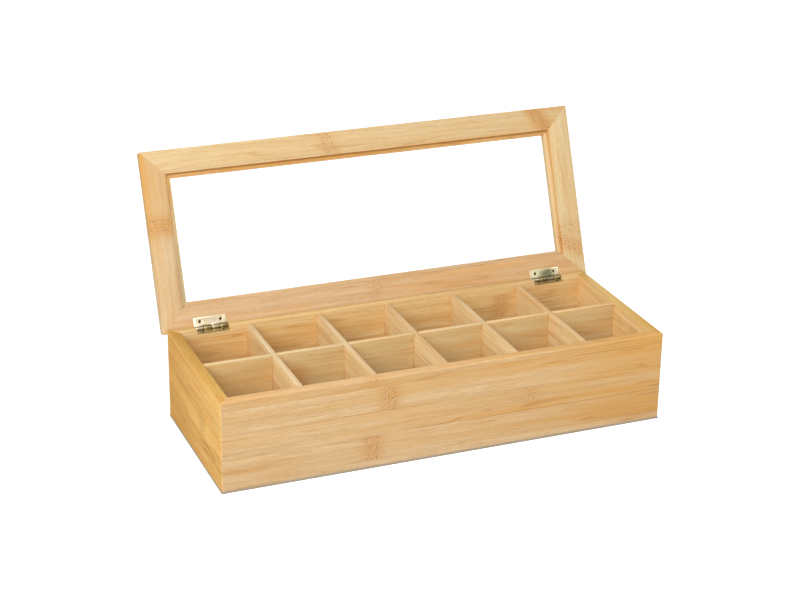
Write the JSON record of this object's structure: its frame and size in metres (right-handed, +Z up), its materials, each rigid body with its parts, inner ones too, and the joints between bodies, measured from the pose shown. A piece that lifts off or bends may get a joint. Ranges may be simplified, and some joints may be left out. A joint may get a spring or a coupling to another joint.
{
  "type": "tea bag organizer box",
  "caption": "Long bamboo tea box standing open, its hinged lid a mitred frame round a clear window, its inside split by halved dividers into compartments.",
  "frame": {"origin": "centre of the box's footprint, on the flat bottom that it rests on", "axes": "+X to the object's right seen from its front, along its length; front at -Y; +Z up"},
  "size_m": [0.438, 0.2369, 0.2402],
  "materials": {
    "box_wood": "satin lacquered bamboo",
    "side_wood": "satin lacquered bamboo",
    "base_wood": "satin lacquered bamboo",
    "divider_wood": "satin lacquered bamboo",
    "lid_wood": "satin lacquered bamboo",
    "clear_pane": "clear polished sheet",
    "hinge_brass": "pale plated brass",
    "screw_brass": "pale plated brass"
  },
  "bodies": {
    "box": {"front_wall": "box_wood", "back_wall": "box_wood", "left_wall": "side_wood", "right_wall": "side_wood", "base_panel": "base_wood", "long_divider": "divider_wood", "cross_divider_1": "divider_wood", "cross_divider_2": "divider_wood", "cross_divider_3": "divider_wood", "cross_divider_4": "divider_wood", "cross_divider_5": "divider_wood", "left_hinge_box_leaf": "hinge_brass", "left_hinge_pin": "hinge_brass", "left_hinge_box_screws": "screw_brass", "right_hinge_box_leaf": "hinge_brass", "right_hinge_pin": "hinge_brass", "right_hinge_box_screws": "screw_brass"},
    "lid": {"lid_front_rail": "lid_wood", "lid_back_rail": "lid_wood", "lid_left_stile": "lid_wood", "lid_right_stile": "lid_wood", "window_pane": "clear_pane", "left_hinge_lid_leaf": "hinge_brass", "left_hinge_lid_screws": "screw_brass", "right_hinge_lid_leaf": "hinge_brass", "right_hinge_lid_screws": "screw_brass"}
  },
  "joints": [
    {"name": "lid_hinge", "type": "hinge", "parent": "box", "child": "lid", "pos_m": [0, 0.08141, 0.08485], "axis": [1, 0, 0], "range_deg": [0, 111.8]}
  ]
}
